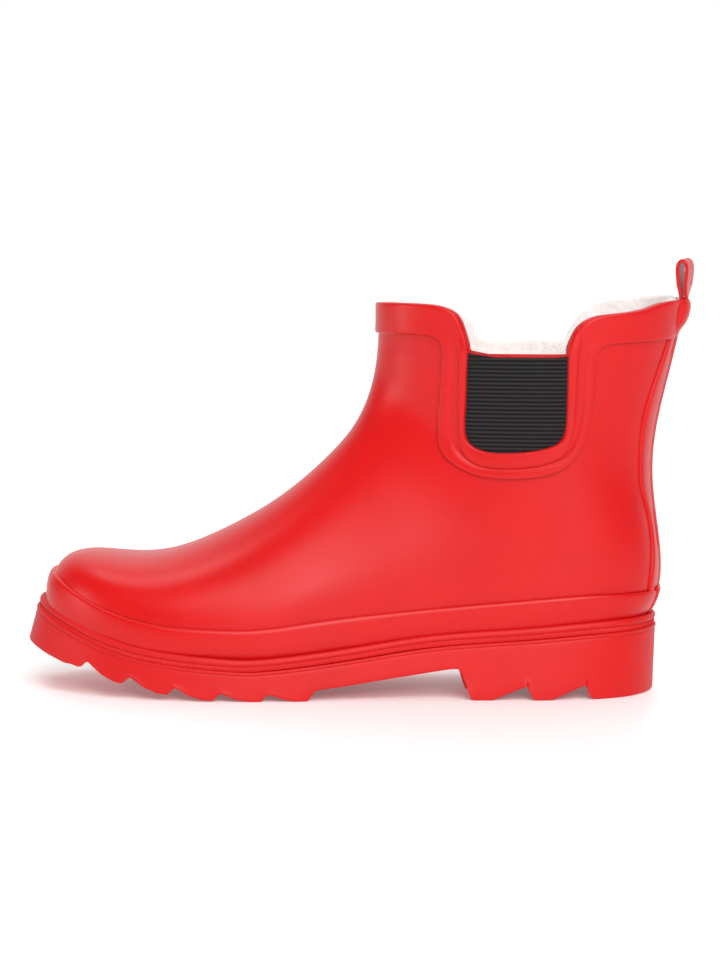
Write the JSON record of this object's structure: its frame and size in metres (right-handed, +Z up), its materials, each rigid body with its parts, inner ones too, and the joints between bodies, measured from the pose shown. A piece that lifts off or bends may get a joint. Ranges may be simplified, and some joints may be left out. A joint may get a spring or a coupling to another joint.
{
  "type": "rain boot",
  "caption": "Ankle-high moulded rubber rain boot for the left foot, with ribbed elastic gores, lugged sole, fleece lining and a rear pull loop.",
  "frame": {"origin": "on the floor, under the middle of the boot's overall length and width", "axes": "+Z up, +X from toe to heel, so the boot points along -X; -Y is its outer side, +Y its inner side"},
  "size_m": [0.3039, 0.1068, 0.1962],
  "materials": {
    "upper_rubber": "satin",
    "sole_rubber": "matte",
    "elastic": "matte",
    "edging_tape": "matte",
    "fleece": "matte",
    "insole_foam": "matte",
    "fibre_board": "matte",
    "stiffener": "matte",
    "core_foam": "matte",
    "shank_steel": "satin"
  },
  "bodies": {
    "boot": {"outsole": "sole_rubber", "heel_core": "core_foam", "midsole_filler": "core_foam", "shank": "shank_steel", "welt": "sole_rubber", "foxing": "upper_rubber", "foxing_heel_tab": "upper_rubber", "insole_board": "fibre_board", "lining": "fleece", "upper_shell": "upper_rubber", "toe_puff": "stiffener", "heel_counter": "stiffener", "back_stay": "upper_rubber", "collar_band": "upper_rubber", "gore_trim_lateral": "upper_rubber", "gore_trim_medial": "upper_rubber", "gore_lateral": "elastic", "gore_medial": "elastic", "gore_edging_lateral": "edging_tape", "gore_edging_medial": "edging_tape", "loop_patch": "upper_rubber"},
    "pull_loop": {"pull_loop": "upper_rubber"},
    "insole": {"insole": "insole_foam"}
  },
  "joints": [
    {"name": "pull_loop_bend", "type": "hinge", "parent": "boot", "child": "pull_loop", "pos_m": [0.1479, 0.001, 0.1776], "axis": [0, 1, 0], "range_deg": [-60, 70], "stiffness_Nm_per_rad": 0.005},
    {"name": "insole_lift", "type": "hinge", "parent": "boot", "child": "insole", "pos_m": [-0.1318, 0.001, 0.0325], "axis": [0, -1, 0], "range_deg": [0, 10]}
  ]
}
